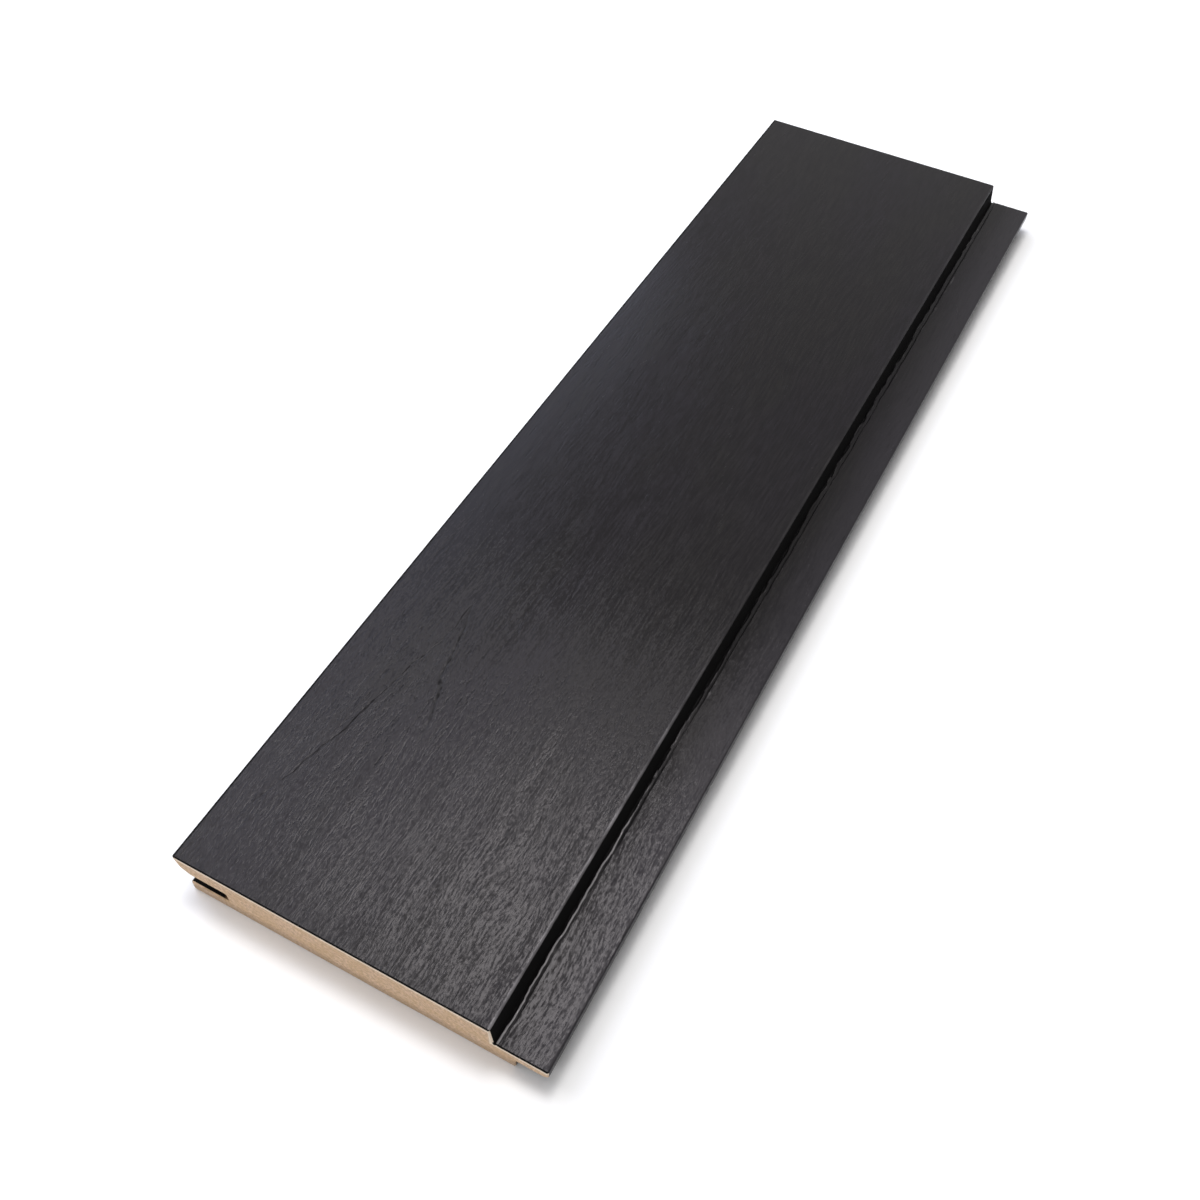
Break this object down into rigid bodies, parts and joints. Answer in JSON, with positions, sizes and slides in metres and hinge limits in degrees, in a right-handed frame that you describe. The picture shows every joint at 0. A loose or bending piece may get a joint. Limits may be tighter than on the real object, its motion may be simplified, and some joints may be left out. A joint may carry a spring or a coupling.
{
  "type": "tongue and groove board",
  "caption": "Short length of shadow-gap tongue and groove board in black-stained solid wood, with bare sawn ends, a long tongue on one edge and a groove in the other.",
  "frame": {"origin": "middle of the footprint, on the back face that the board lies on", "axes": "+Z out of the stained face, +Y along the board and its grain, +X towards the tongue"},
  "size_m": [0.115, 0.4, 0.016],
  "materials": {
    "wood": "black stain, satin, with bare sawn ends"
  },
  "bodies": {
    "root": {"board": "wood"}
  },
  "joints": []
}
